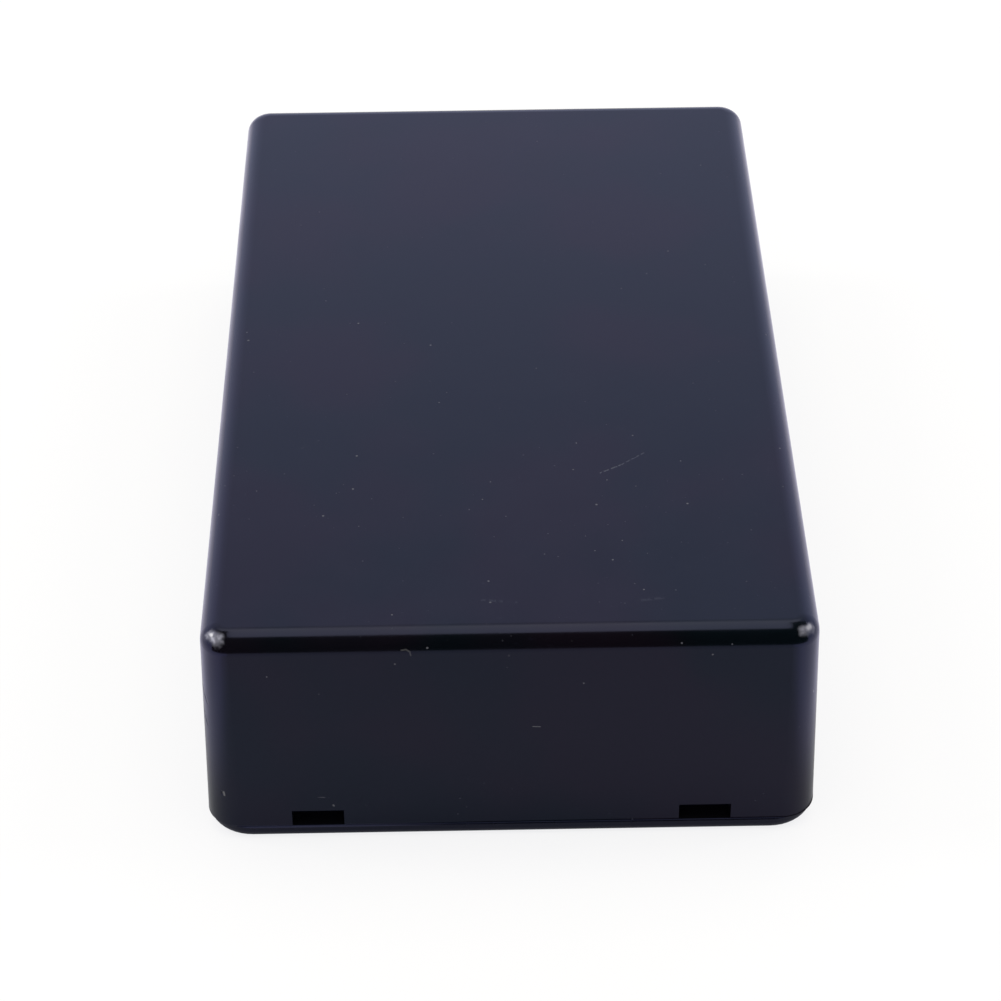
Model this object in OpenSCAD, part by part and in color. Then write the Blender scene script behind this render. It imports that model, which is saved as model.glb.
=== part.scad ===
// Snap-together plastic project box: a deep drafted cover that drops over a flat base.
// The base carries a locating lip, four snap tongues and four circuit board posts.
// Origin at the centre of the underside. X is the width, Y the length and Z points up.

/* [Box] */
// Outside width at the joint line
body_w = 60; // [50:1:90]
// Outside length at the joint line
body_l = 100; // [80:1:150]
// Outside height of the closed box
body_h = 25; // [20:1:40]
// Radius of the upright corners of the cover at the joint line
corner_r = 3.3; // [3:0.1:8]
// Lean of every wall, so that it leaves its mould, in degrees
draft = 1.5; // [0.5:0.25:2]

/* [Cover] */
// Thickness of the side walls
wall = 2; // [1.6:0.1:2.4]
// Thickness of the top
top_t = 2; // [1.6:0.1:3]
// Outside round between the walls and the top
top_r = 2; // [1:0.1:2]
// Inside round between the walls and the top
inside_r = 0.8; // [0.4:0.1:1]
// Small bevel on both edges that meet at the joint line
joint_bevel = 0.15; // [0.05:0.05:0.3]

/* [Base plate] */
// Thickness of the edge that shows below the cover
flange_t = 1.5; // [1.2:0.1:2]
// Thickness of the floor inside the lip
floor_t = 2.2; // [2.1:0.1:3]
// Round along the bottom edge
foot_r = 0.9; // [0.3:0.1:1.2]
// How much larger the corner radius of the plate is than the cover's
plate_ease = 1.2; // [0:0.1:2]
// Height of the locating lip above the edge
lip_h = 2.4; // [1.8:0.1:4]
// Thickness of the locating lip
lip_t = 1.2; // [0.8:0.1:1.6]
// Round on the outer top edge of the lip, which guides the cover on
lip_round = 0.4; // [0.2:0.1:0.6]
// Clearance between the lip and the cover
lip_gap = 0.2; // [0.1:0.05:0.3]

/* [Snaps and pry slots] */
// Width of a pry slot
slot_w = 5.1; // [4:0.1:6]
// Height of a pry slot
slot_h = 2; // [1.5:0.1:2.5]
// Distance from the side of the box to the middle of the nearest slot
slot_inset = 11; // [11:0.5:16]
// Clearance between a tongue and each side of its slot
tongue_side_gap = 0.25; // [0.1:0.05:0.5]
// Thickness of a tongue at its root
tongue_t = 1.2; // [0.9:0.1:1.5]
// Clearance between a tongue and each side of its gap in the lip
lip_break = 0.8; // [0.4:0.1:1.2]
// How far each catch stands out of the cover, and each barb out of its tongue
catch_d = 0.35; // [0.2:0.05:0.5]
// Height of a catch
catch_h = 1.2; // [1.2:0.1:2]
// Wall left between a pry slot and the catch above it
catch_rise = 0.8; // [0.6:0.1:1.5]
// How far a catch runs past each side of its slot
catch_over = 0.5; // [0:0.1:1]
// Clearance as a barb passes its catch
pass_gap = 0.05; // [0.05:0.05:0.2]
// Clearance between the top of a catch and the barb that hooks over it
latch_gap = 0.1; // [0.05:0.05:0.3]
// Height of a barb, from its hook to the tip of the tongue
barb_h = 2.2; // [1.6:0.1:3]

/* [Circuit board posts] */
// Distance from the long sides to the post centres
post_inset_x = 8; // [8:0.5:14]
// Distance from the short ends to the post centres
post_inset_y = 11; // [11:0.5:20]
// Height of a post above the floor
post_h = 4; // [3:0.5:8]
// Radius of a post at its top
post_r = 2.75; // [2.2:0.05:3.2]
// Radius of the pilot hole for a self-tapping screw
pilot_r = 1.1; // [0.8:0.05:1.4]
// Plastic left under a pilot hole
pilot_floor = 1.4; // [1:0.1:1.8]
// Thickness of the webs round a post
web_t = 0.8; // [0.6:0.1:1.2]
// How far a web runs out from its post along the floor
web_reach = 1.4; // [0.8:0.1:2]
// Height of a web above the floor
web_h = 2.2; // [1.4:0.1:2.8]

/* [Hidden] */
$fn = 64;
// Extra depth of a cut past the surface that it opens
past = 1;
lean = tan(draft);

// The round under the base leaves a little of the edge upright
edge_land = 0.2;
foot_round = min(foot_r, flange_t - joint_bevel - edge_land);
plate_r = corner_r + plate_ease;

// Upright corners stay wide enough at the top to hold the round there
corner_spare = 0.2;
cover_shrink = (body_h - flange_t) * lean;
top_round = min(top_r, corner_r - cover_shrink - corner_spare);

// The cavity in the cover, at the joint line
cavity_w = body_w - 2 * wall;
cavity_l = body_l - 2 * wall;
cavity_top = body_h - top_t;
cavity_shrink = (cavity_top - flange_t) * lean;
cavity_r = max(corner_r - wall, cavity_shrink + inside_r + corner_spare);

// The lip follows the cavity, a clearance inside it
lip_w = cavity_w - 2 * lip_gap;
lip_l = cavity_l - 2 * lip_gap;
lip_r = cavity_r - lip_gap;
lip_top = flange_t + lip_h;
pocket_r = max(lip_r - lip_t, lip_round);

// The snaps, from the pry slot upwards
slot_x = body_w / 2 - slot_inset;
catch_z = flange_t + slot_h + catch_rise;
catch_mid = catch_z + catch_h / 2;
catch_w = slot_w + 2 * catch_over;
barb_z = catch_z + catch_h + latch_gap;
tongue_w = slot_w - 2 * tongue_side_gap;
tongue_top = barb_z + barb_h;
// The slopes above and below a catch, and the hook under a barb
catch_slope = catch_h / 3;
hook_slope = barb_h / 10;
barb_land = barb_h / 4;
// Foot that stiffens a tongue on its inner side
tongue_foot = tongue_t / 2;
tongue_taper = tongue_t / 6;
// Faces that pass each other, measured from the middle of the box
catch_face = cavity_l / 2 - (catch_mid - flange_t) * lean - catch_d;
tongue_face = catch_face - pass_gap - catch_d;

// The circuit board posts
post_x = body_w / 2 - post_inset_x;
post_y = body_l / 2 - post_inset_y;
post_top = floor_t + post_h;

// A quarter of a disc, in the corner between +X and +Y
module quarter_disc(r) {
    intersection() {
        circle(r = r);
        square(r + past);
    }
}

// Half of a drafted section, measured outwards from the axis of an upright corner.
// r is its radius at z0, round_r the round at the top and bevel the cut at the bottom.
module drafted_section(r, z0, z1, round_r, bevel) {
    centre_z = z1 - round_r;
    centre_x = r - (centre_z - z0) * lean - round_r / cos(draft);
    foot = bevel > 0 ? [[r - bevel, z0], [r - bevel * lean, z0 + bevel]] : [[r, z0]];
    wall_end = [centre_x + round_r * cos(draft), centre_z + round_r * sin(draft)];
    polygon(concat([[0, z0]], foot, [wall_end, [centre_x, z1], [0, z1]]));
    translate([centre_x, centre_z]) quarter_disc(round_r);
}

// Half of the section of the plate that shows below the cover
module flange_section() {
    centre_x = plate_r - foot_round;
    polygon([
        [0, 0],
        [centre_x, 0],
        [plate_r, foot_round],
        [plate_r, flange_t - joint_bevel],
        [plate_r - joint_bevel, flange_t],
        [0, flange_t]
    ]);
    translate([centre_x, foot_round]) mirror([0, 1]) quarter_disc(foot_round);
}

// A block w by l with upright corners of radius r. Its side section is the child,
// which turns round each corner and runs straight along each side.
module block_with_section(w, l, r, z0, z1) {
    x = w / 2 - r;
    y = l / 2 - r;
    translate([-x, -y, z0]) cube([2 * x, 2 * y, z1 - z0]);
    for (turn = [0, 180]) {
        rotate([0, 0, turn]) {
            translate([x, 0, 0]) rotate([90, 0, 0]) linear_extrude(2 * y, center = true) children();
            translate([0, y, 0]) rotate([90, 0, 90]) linear_extrude(2 * x, center = true) children();
            translate([x, y, 0]) rotate_extrude(angle = 90) children();
            translate([-x, y, 0]) rotate([0, 0, 90]) rotate_extrude(angle = 90) children();
        }
    }
}

// A drafted block with a round along its top edge
module drafted_block(w, l, r, z0, z1, round_r, bevel) {
    block_with_section(w, l, r, z0, z1) drafted_section(r, z0, z1, round_r, bevel);
}

// A bar of width w along X, made from its section in Y and Z
module bar_across(w) {
    rotate([90, 0, 90]) linear_extrude(w, center = true) children();
}

// The child, set behind each of the four pry slots
module at_slots() {
    for (end = [0, 180]) {
        rotate([0, 0, end]) {
            for (side = [-1, 1]) {
                translate([side * slot_x, 0, 0]) children();
            }
        }
    }
}

// The child, set at each of the four circuit board posts
module at_posts() {
    for (x = [-post_x, post_x], y = [-post_y, post_y]) {
        translate([x, y, 0]) children();
    }
}

module cavity() {
    drafted_block(
        cavity_w + 2 * past * lean, cavity_l + 2 * past * lean, cavity_r + past * lean,
        flange_t - past, cavity_top, inside_r, 0
    );
}

// Ridge on the inside of an end wall, with a slope above and below
module catch_ridge() {
    root = catch_face + wall;
    bar_across(catch_w) polygon([
        [root, catch_z],
        [catch_face + catch_d, catch_z],
        [catch_face, catch_z + catch_slope],
        [catch_face, catch_z + catch_h - catch_slope / 2],
        [catch_face + catch_d, catch_z + catch_h],
        [root, catch_z + catch_h]
    ]);
}

module pry_slot() {
    translate([-slot_w / 2, body_l / 2 - 2 * wall, flange_t - past]) {
        cube([slot_w, 3 * wall, slot_h + past]);
    }
}

module cover() {
    color("#24252e") difference() {
        union() {
            difference() {
                drafted_block(body_w, body_l, corner_r, flange_t, body_h, top_round, joint_bevel);
                cavity();
            }
            at_slots() catch_ridge();
        }
        at_slots() pry_slot();
    }
}

// Springy tongue with a foot on its inner side and a barb on its outer side
module tongue() {
    inner = tongue_face - tongue_t;
    bar_across(tongue_w) polygon([
        [tongue_face, flange_t],
        [tongue_face, barb_z],
        [tongue_face + catch_d, barb_z + hook_slope],
        [tongue_face + catch_d, barb_z + hook_slope + barb_land],
        [tongue_face - tongue_taper, tongue_top],
        [inner + tongue_taper, tongue_top],
        [inner, floor_t + tongue_foot],
        [inner - tongue_foot, floor_t],
        [inner - tongue_foot, flange_t]
    ]);
}

// Gap in the lip that frees a tongue
module lip_gap_cut() {
    gap_w = tongue_w + 2 * lip_break;
    cut_from = tongue_face - tongue_t - tongue_foot;
    translate([-gap_w / 2, cut_from, floor_t]) cube([gap_w, lip_l / 2 + past - cut_from, lip_h]);
}

// The raised floor that plugs into the cover, with the lip round it
module lip() {
    difference() {
        drafted_block(lip_w, lip_l, lip_r, flange_t, lip_top, lip_round, 0);
        block_with_section(lip_w - 2 * lip_t, lip_l - 2 * lip_t, pocket_r, floor_t, lip_top + past) {
            translate([0, floor_t]) square([pocket_r, lip_top + past - floor_t]);
        }
        at_slots() lip_gap_cut();
    }
}

// Drafted post with a web on each side
module post() {
    translate([0, 0, floor_t]) cylinder(r1 = post_r + post_h * lean, r2 = post_r, h = post_h);
    for (turn = [0:90:270]) {
        rotate([90, 0, turn]) linear_extrude(web_t, center = true) polygon([
            [0, floor_t],
            [post_r + web_reach, floor_t],
            [post_r, floor_t + web_h],
            [0, floor_t + web_h]
        ]);
    }
}

module pilot_hole() {
    translate([0, 0, pilot_floor]) cylinder(r = pilot_r, h = post_top - pilot_floor + past);
}

module base() {
    color("#202129") difference() {
        union() {
            block_with_section(body_w, body_l, plate_r, 0, flange_t) flange_section();
            lip();
            at_slots() tongue();
            at_posts() post();
        }
        at_posts() pilot_hole();
    }
}

cover();
base();
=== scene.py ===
from math import cos, pi, radians, sin

import bmesh
import bpy
from mathutils import Matrix, Vector


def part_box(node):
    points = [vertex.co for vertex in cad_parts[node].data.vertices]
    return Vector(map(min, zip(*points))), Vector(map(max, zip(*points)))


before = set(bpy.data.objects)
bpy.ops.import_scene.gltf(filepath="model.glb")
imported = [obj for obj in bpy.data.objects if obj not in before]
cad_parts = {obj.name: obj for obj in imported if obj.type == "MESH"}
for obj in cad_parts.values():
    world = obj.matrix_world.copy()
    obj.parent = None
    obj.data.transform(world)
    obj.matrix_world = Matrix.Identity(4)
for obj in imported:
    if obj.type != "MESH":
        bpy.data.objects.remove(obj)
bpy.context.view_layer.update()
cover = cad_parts["cover"]
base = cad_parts["base"]
scene = bpy.context.scene
scene.view_settings.view_transform = "Standard"
mm = 0.001
print("frame loaded")


cameraSetup = {
    "azimuth": -0.655,     # degrees round the box, 0 looks along its length
    "elevation": 37.579,
    "roll": -0.504,
    "distance": 330.75,    # mm from the aim point
    "aim": (-0.308, -4.594, 6.609),
    "lens": 108.79,
    "sensor": 36,
    "nearest": 10,         # mm, nothing nearer is shown
}


def addCamera(setup):
    data = bpy.data.cameras.new("camera")
    data.lens = setup["lens"]
    data.sensor_width = setup["sensor"]
    data.clip_start = setup["nearest"] * mm
    camera = bpy.data.objects.new("camera", data)
    scene.collection.objects.link(camera)
    az, el = radians(setup["azimuth"]), radians(setup["elevation"])
    back = Vector((sin(az) * cos(el), -cos(az) * cos(el), sin(el)))
    right = Vector((0, 0, 1)).cross(back).normalized()
    up = back.cross(right)
    roll = Matrix.Rotation(radians(setup["roll"]), 3, "Z")
    turn = Matrix((right, up, back)).transposed() @ roll
    place = Vector(setup["aim"]) * mm + back * setup["distance"] * mm
    camera.matrix_world = Matrix.Translation(place) @ turn.to_4x4()
    scene.camera = camera


addCamera(cameraSetup)
print("camera placed")


def newMaterial(name):
    mat = bpy.data.materials.new(name)
    mat.use_nodes = True
    mat.node_tree.nodes.clear()
    return mat


def plug(tree, socket, value):
    if isinstance(value, bpy.types.NodeSocket):
        tree.links.new(value, socket)
    else:
        socket.default_value = value


def plugColour(tree, socket, value):
    plug(tree, socket, value if isinstance(value, bpy.types.NodeSocket) else (*value, 1))


def mathNode(tree, operation, *values, clamp=False):
    node = tree.nodes.new("ShaderNodeMath")
    node.operation = operation
    node.use_clamp = clamp
    for socket, value in zip(node.inputs, values):
        plug(tree, socket, value)
    return node.outputs[0]


def vectorNode(tree, operation, first, second):
    node = tree.nodes.new("ShaderNodeVectorMath")
    node.operation = operation
    plug(tree, node.inputs[0], first)
    plug(tree, node.inputs["Scale"] if operation == "SCALE" else node.inputs[1], second)
    return node.outputs["Value" if operation in ("DOT_PRODUCT", "DISTANCE") else "Vector"]


def rise(tree, value, low, high, start=0.0, end=1.0):
    # eases from start to end as the value goes from low to high
    node = tree.nodes.new("ShaderNodeMapRange")
    node.interpolation_type = "SMOOTHSTEP"
    for name, number in (("Value", value), ("From Min", low), ("From Max", high),
                         ("To Min", start), ("To Max", end)):
        plug(tree, node.inputs[name], number)
    return node.outputs[0]


def mixColour(tree, share, first, second):
    node = tree.nodes.new("ShaderNodeMix")
    node.data_type = "RGBA"
    plug(tree, node.inputs[0], share)
    plugColour(tree, node.inputs[6], first)
    plugColour(tree, node.inputs[7], second)
    return node.outputs[2]


def noise(tree, where, size, detail=2.0, output="Fac"):
    node = tree.nodes.new("ShaderNodeTexNoise")
    plug(tree, node.inputs["Vector"], where)
    node.inputs["Scale"].default_value = 1 / size
    node.inputs["Detail"].default_value = detail
    return node.outputs[output]


def emission(tree, colour, strength=1.0):
    node = tree.nodes.new("ShaderNodeEmission")
    plugColour(tree, node.inputs["Color"], colour)
    node.inputs["Strength"].default_value = strength
    return node.outputs[0]


def diffuse(tree, colour):
    node = tree.nodes.new("ShaderNodeBsdfDiffuse")
    plugColour(tree, node.inputs["Color"], colour)
    return node.outputs[0]


def mixShader(tree, share, first, second):
    node = tree.nodes.new("ShaderNodeMixShader")
    for socket, value in zip(node.inputs, (share, first, second)):
        plug(tree, socket, value)
    return node.outputs[0]


def finishMaterial(tree, surface):
    node = tree.nodes.new("ShaderNodeOutputMaterial")
    plug(tree, node.inputs["Surface"], surface)


stageSetup = {
    "floorRadius": 8.0,                  # m
    "floorSides": 96,
    "floorGap": 0.05,                    # mm under the box, keeps the two from sharing a plane
    "floorColour": (0.82, 0.82, 0.82),
    "paperGlow": 0.80,                   # share of plain white seen in the floor, the rest is lit
    "paperWhite": (1.035, 1.035, 1.05),
    "glossGlow": 0.35,                   # the same share in a reflection, where the paper shows
    # painted reflection: the floor's glow seen in gloss is painted shade in front of the box and
    # painted light beside it
    "nearPaperShade": (0.36, 0.38, 0.50),     # in this colour in front of the box
    "sidePaperLight": (1.62, 1.57, 2.48),     # and in this one beside it
    "paperTurn": (32, 48),               # mm from the middle between which it turns
    "worldLevel": 0.62,                  # light that falls on everything
    "skyLow": (0.91, 0.96, 1.31),        # what the gloss shows near the horizon
    "skyHigh": (0.69, 0.73, 0.83),       # and higher up
    "skyTurn": (0.45, 0.75),             # heights between which it turns, 0 to 1
}
# Soft boxes, in mm. The level is how bright a lamp shows.
overheadBox = {"size": (520, 590), "place": (0, 55, 620), "lookAt": (0, 54, 20), "level": 1.6,
               "colour": (1.0, 0.95, 0.68)}
sideBoxes = [
    {"size": (200, 260), "place": (-560, 60, 640), "lookAt": (-20, -40, 20), "level": 8.0,
     "colour": (1.0, 0.97, 0.9)},
    {"size": (200, 260), "place": (560, 60, 640), "lookAt": (20, -40, 20), "level": 6.0,
     "colour": (1.0, 0.97, 0.9)},
]
# A small dark card bent round the front edge and its corners keeps the studio out of their
# reflection. Each row is a turn round a corner with its arc over the edge, in degrees and mm.
edgeCard = {"middle": (-47.4, 23.0), "radius": 5.0, "arcSteps": 16, "axis": (26.7, -46.7),
            "rows": ((0, -7, 66), (6, -7, 72), (12, -7, 84), (18, -7, 94), (30, -7, 96),
                     (40, -7, 96), (48, -7, 96), (54, 44, 96), (64, 46, 96), (74, 48, 96),
                     (84, 52, 94), (94, 58, 90)),
            "colour": (0.065, 0.068, 0.07)}
# Painted shade: a hair-thin dark strip round the joint, seen only in reflection, darkens it so it
# shows as a shut gap, but for the dusty end on the left, where it thins out to nothing.
jointShadeCard = {"axis": (26.7, 46.7), "reaches": (3.34, 3.52), "height": 1.565,
             "startX": -18, "fullX": -2, "turnSteps": 8, "colour": (0.004, 0.004, 0.005)}


def makeObject(name, bm):
    mesh = bpy.data.meshes.new(name)
    bm.to_mesh(mesh)
    bm.free()
    thing = bpy.data.objects.new(name, mesh)
    scene.collection.objects.link(thing)
    return thing


def flatPaint(name, colour):
    mat = newMaterial(name)
    finishMaterial(mat.node_tree, diffuse(mat.node_tree, colour))
    return mat


def rayKinds(tree):
    # rays that see a thing straight or through something clear, and those that see its reflection
    rays = tree.nodes.new("ShaderNodeLightPath").outputs
    straight = mathNode(tree, "MAXIMUM", rays["Is Camera Ray"], rays["Is Transmission Ray"])
    return straight, rays["Is Glossy Ray"]


def addFloor(setup):
    bm = bmesh.new()
    bmesh.ops.create_circle(bm, cap_ends=True, segments=setup["floorSides"],
                            radius=setup["floorRadius"])
    floor = makeObject("floor", bm)
    mat = newMaterial("floorPaper")
    tree = mat.node_tree
    place = tree.nodes.new("ShaderNodeTexCoord")
    split = tree.nodes.new("ShaderNodeSeparateXYZ")
    plug(tree, split.inputs[0], place.outputs["Object"])
    # painted reflection: seen only in gloss, the floor glows darker in front of the box and
    # brighter beside it
    aside = rise(tree, mathNode(tree, "ABSOLUTE", split.outputs[0]),
                 *(edge * mm for edge in setup["paperTurn"]))
    mirrored = mixColour(tree, aside, setup["nearPaperShade"], setup["sidePaperLight"])
    straight, glossy = rayKinds(tree)
    glow = emission(tree, mixColour(tree, glossy, setup["paperWhite"], mirrored))
    share = mathNode(tree, "MAXIMUM", mathNode(tree, "MULTIPLY", straight, setup["paperGlow"]),
                     mathNode(tree, "MULTIPLY", glossy, setup["glossGlow"]))
    paper = mixShader(tree, share, diffuse(tree, setup["floorColour"]), glow)
    # nothing of it is seen from below
    facing = tree.nodes.new("ShaderNodeNewGeometry")
    clear = tree.nodes.new("ShaderNodeBsdfTransparent")
    finishMaterial(tree, mixShader(tree, facing.outputs["Backfacing"], paper, clear.outputs[0]))
    floor.data.materials.append(mat)
    floor.location.z = -setup["floorGap"] * mm


def background(tree, colour, strength):
    node = tree.nodes.new("ShaderNodeBackground")
    plugColour(tree, node.inputs["Color"], colour)
    node.inputs["Strength"].default_value = strength
    return node.outputs[0]


def addWorld(setup):
    world = bpy.data.worlds.new("studio")
    scene.world = world
    world.use_nodes = True
    tree = world.node_tree
    tree.nodes.clear()
    place = tree.nodes.new("ShaderNodeTexCoord")
    split = tree.nodes.new("ShaderNodeSeparateXYZ")
    plug(tree, split.inputs[0], place.outputs["Generated"])
    high = rise(tree, split.outputs[2], *setup["skyTurn"])
    sky = mixColour(tree, high, setup["skyLow"], setup["skyHigh"])
    seen = mathNode(tree, "MAXIMUM", *rayKinds(tree))
    light = background(tree, (1, 1, 1), setup["worldLevel"])
    node = tree.nodes.new("ShaderNodeOutputWorld")
    plug(tree, node.inputs["Surface"],
         mixShader(tree, seen, light, background(tree, sky, 1.0)))


def addSoftBox(name, setup):
    data = bpy.data.lights.new(name, "AREA")
    data.shape = "RECTANGLE"
    data.size, data.size_y = (side * mm for side in setup["size"])
    # an area lamp of this power shows the level asked for as its brightness
    data.energy = setup["level"] * data.size * data.size_y * pi
    data.color = setup["colour"]
    lamp = bpy.data.objects.new(name, data)
    scene.collection.objects.link(lamp)
    place = Vector(setup["place"]) * mm
    aim = Vector(setup["lookAt"]) * mm - place
    turn = aim.to_track_quat("-Z", "Y").to_matrix().to_4x4()
    lamp.matrix_world = Matrix.Translation(place) @ turn


def placeCard(name, bm, colour):
    # a card is seen in reflections only
    card = makeObject(name, bm)
    card.data.materials.append(flatPaint(name, colour))
    card.visible_camera = False
    card.visible_diffuse = False
    card.visible_shadow = False
    card.visible_transmission = False


def addEdgeCard(setup):
    axisX, axisY = setup["axis"]
    middleY, middleZ = setup["middle"]
    bm = bmesh.new()
    rows = []
    for side, turns in ((-1, reversed(setup["rows"])), (1, setup["rows"])):
        for wrap, low, high in turns:
            row = []
            for step in range(setup["arcSteps"] + 1):
                arc = radians(low + (high - low) * step / setup["arcSteps"])
                reach = axisY - middleY + setup["radius"] * cos(arc)
                place = (side * (axisX + reach * sin(radians(wrap))),
                         axisY - reach * cos(radians(wrap)),
                         middleZ + setup["radius"] * sin(arc))
                row.append(bm.verts.new(Vector(place) * mm))
            rows.append(row)
    for first, second in zip(rows, rows[1:]):
        for k in range(setup["arcSteps"]):
            bm.faces.new((first[k], second[k], second[k + 1], first[k + 1]))
    placeCard("edgeCard", bm, setup["colour"])


# painted shade for the joint: a dark strip seen only in reflection
def addJointShadeCard(setup):
    axisX, axisY = setup["axis"]
    bm = bmesh.new()
    rows = []
    for reach in setup["reaches"]:
        path = [(setup["startX"], -axisY - setup["reaches"][0]),
                (setup["fullX"], -axisY - reach)]
        for sideX, sideY, start in ((1, -1, -90), (1, 1, 0), (-1, 1, 90)):
            for step in range(setup["turnSteps"] + 1):
                turn = radians(start + 90 * step / setup["turnSteps"])
                path.append((sideX * axisX + reach * cos(turn), sideY * axisY + reach * sin(turn)))
        path.append((-axisX - reach, -axisY))
        rows.append([bm.verts.new((x * mm, y * mm, setup["height"] * mm)) for x, y in path])
    for k in range(len(rows[0]) - 1):
        bm.faces.new((rows[0][k], rows[1][k], rows[1][k + 1], rows[0][k + 1]))
    placeCard("jointShadeCard", bm, setup["colour"])


addFloor(stageSetup)
addWorld(stageSetup)
addSoftBox("overheadBox", overheadBox)
for side, setup in zip(("left", "right"), sideBoxes):
    addSoftBox(side + "Box", setup)
addEdgeCard(edgeCard)
addJointShadeCard(jointShadeCard)
print("stage set")


coverPlastic = {
    # two casts that drift into each other, sizes in mm
    "colours": ((0.0012, 0.0031, 0.0042), (0.0044, 0.0028, 0.0050)),
    "castSize": 19,
    "castBand": (0.38, 0.62),     # part of the drift in which one gives way to the other
    "gloss": 0.35,
    "glossTint": (0.50, 0.54, 1.0),
    "roughness": (0.17, 0.24),
    "roughnessSize": 7,
    "roughnessBand": (0.3, 0.7),
    "insideColour": (0.004, 0.0042, 0.0055),
    "insideRoughness": 0.62,
    "skin": 1.5,                  # mm under the outer surface that still count as outside
    "ripple": (11, 0.006),        # size and height of the slow waves that moulding leaves, mm
    "grain": (0.35, 0.0005),      # the same for the fine grain outside and inside
    "insideGrain": (0.22, 0.004),
}
basePlastic = dict(coverPlastic, roughness=(0.22, 0.30),
                   colours=((0.0036, 0.0041, 0.0058), (0.0044, 0.0041, 0.0056)))
# Settled dust, in mm: grains about a spacing apart, of which a share is there.
dust = {
    "layers": [
        {"spacing": 1.5, "radius": (0.06, 0.13), "share": 0.75, "tone": (0.095, 0.095, 0.105)},
        {"spacing": 1.0, "radius": (0.05, 0.10), "share": 0.65, "tone": (0.026, 0.027, 0.034)},
    ],
    "softEdge": 0.35,             # of a grain, as a share of the smallest radius
    "faintest": 0.2,              # strength of the faintest grain
    "roughens": 0.4,
    "pits": {"spacing": 1.5, "radius": (0.06, 0.13), "share": 0.6, "depth": 0.02},
    "shift": (0.6, 1.7, 0.9),     # puts the pits away from the grains
    "onWalls": 0.25,              # how much lies on the walls, 1 on the top
    "onTop": (2.5, 0.5),          # mm below the top between which that changes
    "drift": (-50, 35, 1.0, 0.3), # from the front to the back it thins out
    "clumps": (14, 0.35, 0.6, 0.25),
}
# Fine wear and dirt on the cover, in mm. A mark runs from one place to the other and
# fades over its soft edge; broken ones come and go along their length.
coverMarks = [
    # a scratch across the top, and a fainter one
    {"from": (9.5, -24.2, 25), "to": (11.8, -22.8, 25), "width": 0.05, "soft": 0.08,
     "tone": (0.045, 0.047, 0.055), "broken": 0.26, "depth": 0.006},
    {"from": (11.9, -22.7, 25), "to": (14.1, -20.9, 25), "width": 0.04, "soft": 0.07,
     "tone": (0.035, 0.037, 0.045), "broken": 0.24, "depth": 0.005},
    {"from": (-20.8, -19.4, 25), "to": (-18.9, -17.9, 25), "width": 0.02, "soft": 0.06,
     "tone": (0.014, 0.015, 0.020), "broken": 0.3, "depth": 0.002},
    # rubbed places near the front edge
    {"from": (-2.6, -44.0, 25), "to": (0.6, -44.4, 25), "width": 0.0, "soft": 0.30,
     "tone": (0.014, 0.015, 0.020), "broken": 0.35, "depth": 0.0},
    {"from": (12.6, -44.4, 25), "to": (14.6, -44.1, 25), "width": 0.0, "soft": 0.32,
     "tone": (0.013, 0.014, 0.019), "broken": 0.4, "depth": 0.0},
    # a short curved fibre on the front round
    {"from": (-10.28, -49.4, 23.46), "to": (-9.85, -49.37, 23.53), "width": 0.05, "soft": 0.06,
     "tone": (0.055, 0.055, 0.056), "broken": 0, "depth": 0.0},
    {"from": (-9.85, -49.37, 23.53), "to": (-9.5, -49.4, 23.28), "width": 0.05, "soft": 0.06,
     "tone": (0.050, 0.050, 0.051), "broken": 0, "depth": 0.0},
    {"from": (-9.5, -49.4, 23.28), "to": (-9.42, -49.44, 22.85), "width": 0.04, "soft": 0.06,
     "tone": (0.045, 0.045, 0.046), "broken": 0, "depth": 0.0},
    # nicks in the upright edge on the left
    {"from": (-29.45, -47.4, 18.1), "to": (-29.0, -48.4, 16.4), "width": 0.06, "soft": 0.12,
     "tone": (0.001, 0.001, 0.001), "broken": 0, "depth": 0.10},
    {"from": (-29.52, -47.4, 15.2), "to": (-29.15, -48.3, 13.6), "width": 0.06, "soft": 0.12,
     "tone": (0.001, 0.001, 0.001), "broken": 0, "depth": 0.10},
    # a chip low on the left, with its shadow side beside it
    {"from": (-28.10, -49.58, 5.85), "to": (-28.06, -49.6, 5.45), "width": 0.06, "soft": 0.08,
     "tone": (0.12, 0.12, 0.125), "broken": 0, "depth": 0.0},
    {"from": (-28.3, -49.44, 5.8), "to": (-28.26, -49.46, 5.5), "width": 0.05, "soft": 0.08,
     "tone": (0.001, 0.001, 0.001), "broken": 0, "depth": 0.05},
    # specks over the left slot, in the middle of the front and by the right edge
    {"from": (-18.9, -49.9, 5.25), "to": (-17.9, -49.9, 5.2), "width": 0.02, "soft": 0.06,
     "tone": (0.05, 0.05, 0.06), "broken": 0.5, "depth": 0.0},
    {"from": (-17.45, -49.93, 4.2), "to": (-17.4, -49.93, 4.1), "width": 0.05, "soft": 0.06,
     "tone": (0.10, 0.10, 0.11), "broken": 0, "depth": 0.0},
    {"from": (2.1, -49.68, 13.85), "to": (2.8, -49.68, 13.8), "width": 0.03, "soft": 0.04,
     "tone": (0.09, 0.09, 0.10), "broken": 0, "depth": 0.0},
    {"from": (29.1, -48.4, 16.75), "to": (29.12, -48.37, 16.5), "width": 0.04, "soft": 0.07,
     "tone": (0.14, 0.14, 0.15), "broken": 0, "depth": 0.0},
]
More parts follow.
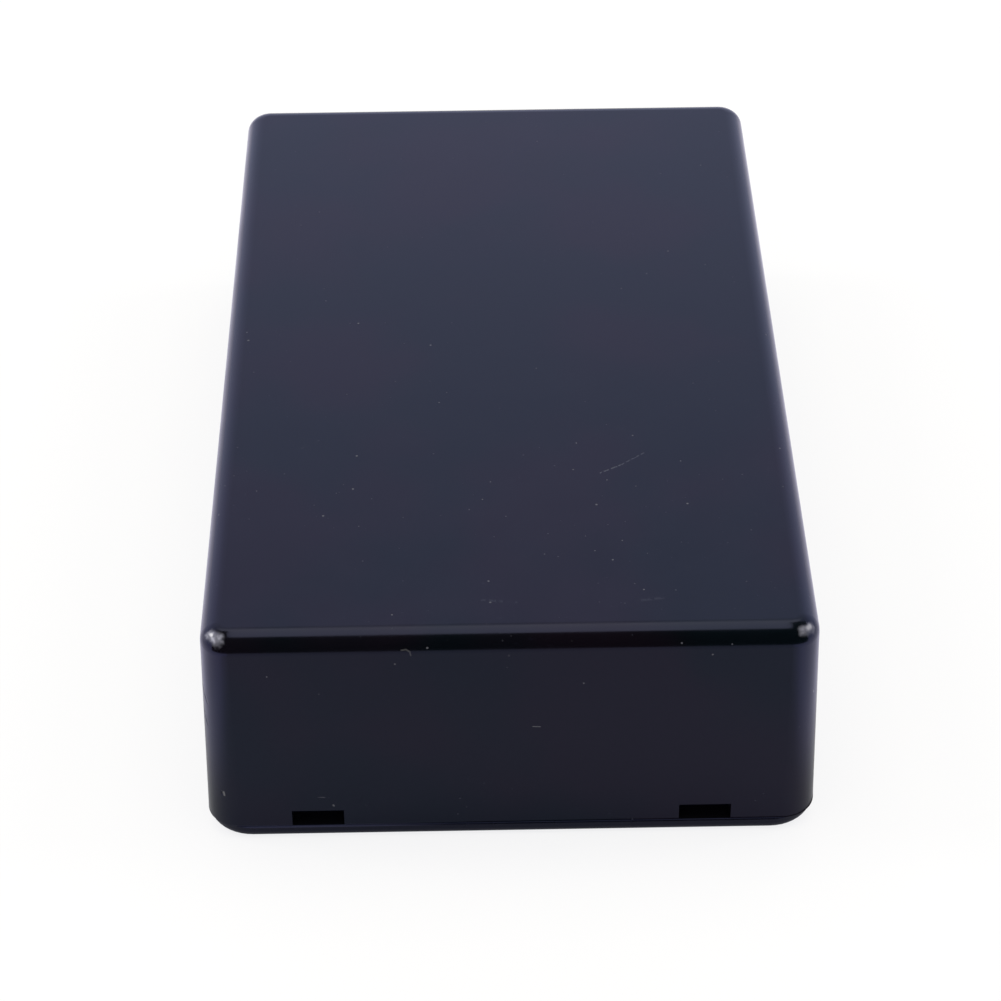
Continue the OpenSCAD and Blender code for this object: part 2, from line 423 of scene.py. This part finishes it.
# Painted highlights: the two front corners of the top are painted pale where they catch the light.
paintedCornerGlints = [
    {"from": (-28.35, -47.95, 24.55), "to": (-27.65, -48.6, 24.45), "width": 0.10, "soft": 0.78,
     "tone": (0.17, 0.17, 0.21), "bright": (0.43, 0.43, 0.53), "grain": 0.5},
    {"from": (28.42, -48.08, 24.35), "to": (27.6, -48.68, 24.45), "width": 0.0, "soft": 0.78,
     "tone": (0.117, 0.117, 0.143), "bright": (0.245, 0.245, 0.295), "grain": 0.65},
]
cornerGlintTexture = {
    "fray": (0.8, 0.8),           # size and amount of the fraying of their outline, mm
    "speckleBand": (0.36, 0.68),
    "roughens": 0.25,
    "depth": 0.01,
}
# painted highlights: the brightest point of each corner glint
paintedGlintPeaks = [                   # the brightest point of each
    {"from": (-28.24, -47.95, 24.6), "to": (-28.18, -48.05, 24.58), "width": 0.04, "soft": 0.22,
     "tone": (0.70, 0.70, 0.78)},
    {"from": (28.3, -48.05, 24.45), "to": (28.15, -48.2, 24.45), "width": 0.04, "soft": 0.3,
     "tone": (0.36, 0.36, 0.41)},
]
brokenBand = (0.44, 0.56)         # part of the drift in which a broken mark comes and goes
# Dust has settled in the joint on the left of the front.
jointDust = {"z": 1.5, "reach": (0.132, 0.22), "endX": (-13, -5), "frontY": -49.9,
             "tone": (0.021, 0.021, 0.034)}


def grains(tree, where, layer, lies):
    # round grains of many strengths, more of them where more lies
    spacing, radius = layer["spacing"], layer["radius"]
    node = tree.nodes.new("ShaderNodeTexVoronoi")
    plug(tree, node.inputs["Vector"], where)
    node.inputs["Scale"].default_value = 1 / spacing
    parts = tree.nodes.new("ShaderNodeSeparateColor")
    plug(tree, parts.inputs[0], node.outputs["Color"])
    size = rise(tree, parts.outputs[0], 0, 1, radius[0] / spacing, radius[1] / spacing)
    near = mathNode(tree, "SUBTRACT", size, node.outputs["Distance"])
    dot = rise(tree, near, 0, dust["softEdge"] * radius[0] / spacing)
    share = mathNode(tree, "MULTIPLY", lies, layer["share"])
    kept = mathNode(tree, "LESS_THAN", parts.outputs[1], share)
    strength = rise(tree, parts.outputs[2], 0, 1, dust["faintest"], 1.0)
    return mathNode(tree, "MULTIPLY", dot, mathNode(tree, "MULTIPLY", kept, strength))


def frayed(tree, where, size, amount):
    # the same place pushed to and fro, which frays whatever is drawn with it
    push = vectorNode(tree, "SUBTRACT", noise(tree, where, size, 1.0, "Color"), (0.5, 0.5, 0.5))
    return vectorNode(tree, "ADD", where, vectorNode(tree, "SCALE", push, amount))


def markMask(tree, where, mark):
    # 1 along the line of a mark, 0 beyond its soft edge
    start = Vector(mark["from"])
    run = Vector(mark["to"]) - start
    offset = vectorNode(tree, "SUBTRACT", where, start)
    along = vectorNode(tree, "DOT_PRODUCT", offset, run / run.length_squared)
    along = mathNode(tree, "ADD", along, 0.0, clamp=True)
    foot = vectorNode(tree, "ADD", vectorNode(tree, "SCALE", tuple(run), along), start)
    away = vectorNode(tree, "DISTANCE", where, foot)
    mask = rise(tree, away, mark["width"], mark["width"] + mark["soft"], 1.0, 0.0)
    if mark.get("broken"):
        gaps = rise(tree, noise(tree, where, mark["broken"], 1.0), *brokenBand)
        mask = mathNode(tree, "MULTIPLY", mask, gaps)
    return mask


def lower(tree, height, mask, depth):
    return mathNode(tree, "MULTIPLY_ADD", mask, -depth, height)


def outsideMask(tree, parts, bounds, skin):
    # 1 on the outer surface of a drafted shell, 0 further in than its skin
    halfWidth, halfLength, top, joint, lean = bounds
    shrink = mathNode(tree, "MULTIPLY", mathNode(tree, "SUBTRACT", parts[2], joint), lean)
    depths = []
    for part, half in ((parts[0], halfWidth), (parts[1], halfLength)):
        wall = mathNode(tree, "SUBTRACT", half, shrink)
        depths.append(mathNode(tree, "SUBTRACT", wall, mathNode(tree, "ABSOLUTE", part)))
    depths.append(mathNode(tree, "SUBTRACT", top, parts[2]))
    least = mathNode(tree, "MINIMUM", mathNode(tree, "MINIMUM", depths[0], depths[1]), depths[2])
    return mathNode(tree, "LESS_THAN", least, skin)


def plateMask(tree, parts):
    # 1 on the base plate's underside and edge, and on the strips that show in the slots
    atEnd = mathNode(tree, "GREATER_THAN", mathNode(tree, "ABSOLUTE", parts[1]), slotReach)
    level = mathNode(tree, "MULTIPLY_ADD", atEnd, slotRise, plateTop)
    return mathNode(tree, "LESS_THAN", parts[2], level)


def dustCover(tree, where, parts, outside, top):
    # dust lies on the top, more of it towards the front, and hardly any on the walls
    below, above = dust["onTop"]
    onTop = rise(tree, parts[2], top - below, top - above, dust["onWalls"], 1.0)
    lies = mathNode(tree, "MULTIPLY", onTop, rise(tree, parts[1], *dust["drift"]))
    lies = mathNode(tree, "MULTIPLY", lies, outside)
    size, low, high, least = dust["clumps"]
    clumps = rise(tree, noise(tree, where, size, 1.0), low, high, least, 1.0)
    return mathNode(tree, "MULTIPLY", lies, clumps)


def jointMask(tree, parts):
    # 1 where dust has settled in the joint
    away = mathNode(tree, "ABSOLUTE", mathNode(tree, "SUBTRACT", parts[2], jointDust["z"]))
    mask = rise(tree, away, *jointDust["reach"], 1.0, 0.0)
    mask = mathNode(tree, "MULTIPLY", mask, rise(tree, parts[0], *jointDust["endX"], 1.0, 0.0))
    atFront = mathNode(tree, "LESS_THAN", parts[1], jointDust["frontY"])
    return mathNode(tree, "MULTIPLY", mask, atFront)


def mouldedPlastic(name, look, bounds, marks=(), glints=(), glintPeaks=(), dusty=False):
    mat = newMaterial(name)
    tree = mat.node_tree
    place = tree.nodes.new("ShaderNodeTexCoord")
    where = vectorNode(tree, "SCALE", place.outputs["Object"], 1000.0)   # mm
    split = tree.nodes.new("ShaderNodeSeparateXYZ")
    plug(tree, split.inputs[0], where)
    parts = split.outputs
    outside = outsideMask(tree, parts, bounds, look["skin"]) if bounds else plateMask(tree, parts)

    cast = rise(tree, noise(tree, where, look["castSize"]), *look["castBand"])
    colour = mixColour(tree, cast, look["colours"][0], look["colours"][1])
    colour = mixColour(tree, outside, look["insideColour"], colour)
    satin = rise(tree, noise(tree, where, look["roughnessSize"], 4.0),
                 *look["roughnessBand"], *look["roughness"])
    rough = rise(tree, outside, 0, 1, look["insideRoughness"], satin)

    waves, fine, matt = (
        mathNode(tree, "MULTIPLY", noise(tree, where, look[relief][0], detail), look[relief][1])
        for relief, detail in (("ripple", 1.0), ("grain", 2.0), ("insideGrain", 2.0)))
    height = mathNode(tree, "ADD", waves, rise(tree, outside, 0, 1, matt, fine))

    if dusty:
        lies = dustCover(tree, where, parts, outside, bounds[2])
        for layer in dust["layers"]:
            specks = grains(tree, where, layer, lies)
            colour = mixColour(tree, specks, colour, layer["tone"])
            rough = mathNode(tree, "MULTIPLY_ADD", specks, dust["roughens"], rough)
        pits = grains(tree, vectorNode(tree, "ADD", where, dust["shift"]), dust["pits"], lies)
        height = lower(tree, height, pits, dust["pits"]["depth"])

    for mark in marks:
        mask = markMask(tree, where, mark)
        colour = mixColour(tree, mask, colour, mark["tone"])
        if mark["depth"]:
            height = lower(tree, height, mask, mark["depth"])
    # painted highlights on the front corners: pale frayed, speckled patches in the colour, which
    # also roughen the gloss and sink slightly
    for glint in glints:
        mask = markMask(tree, frayed(tree, where, *cornerGlintTexture["fray"]), glint)
        speckle = rise(tree, noise(tree, where, glint["grain"]), *cornerGlintTexture["speckleBand"])
        glintPatch = mixColour(tree, speckle, glint["tone"], glint["bright"])
        colour = mixColour(tree, mask, colour, glintPatch)
        rough = mathNode(tree, "MULTIPLY_ADD", mask, cornerGlintTexture["roughens"], rough)
        glintPatch = mathNode(tree, "MULTIPLY", mask, speckle)
        height = lower(tree, height, glintPatch, cornerGlintTexture["depth"])
    # painted highlight peaks on the front corners
    for peak in glintPeaks:
        colour = mixColour(tree, markMask(tree, where, peak), colour, peak["tone"])

    colour = mixColour(tree, jointMask(tree, parts), colour, jointDust["tone"])

    bump = tree.nodes.new("ShaderNodeBump")
    bump.inputs["Strength"].default_value = 1.0
    bump.inputs["Distance"].default_value = mm       # heights are in mm
    plug(tree, bump.inputs["Height"], height)
    shader = tree.nodes.new("ShaderNodeBsdfPrincipled")
    shader.inputs["Specular IOR Level"].default_value = look["gloss"]
    plugColour(tree, shader.inputs["Specular Tint"], look["glossTint"])
    plug(tree, shader.inputs["Base Color"], colour)
    plug(tree, shader.inputs["Roughness"], rough)
    plug(tree, shader.inputs["Normal"], bump.outputs[0])
    finishMaterial(tree, shader.outputs[0])
    return mat


wallLean = 0.0262                                    # tangent of the draft
coverLow, coverHigh = (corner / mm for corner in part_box("cover"))
plateTop = coverLow[2] - 0.01                        # the base plate shows outside below this, mm
slotRise = 0.02                                      # and this much higher in the slots
slotReach = 48.0                                     # which lie further from the middle than this
coverBounds = (*coverHigh, coverLow[2], wallLean)
cover.data.materials.clear()
cover.data.materials.append(mouldedPlastic("coverPlastic", coverPlastic, coverBounds,
                                           coverMarks, paintedCornerGlints, paintedGlintPeaks, dusty=True))
base.data.materials.clear()
base.data.materials.append(mouldedPlastic("basePlastic", basePlastic, None))
print("plastic finished")
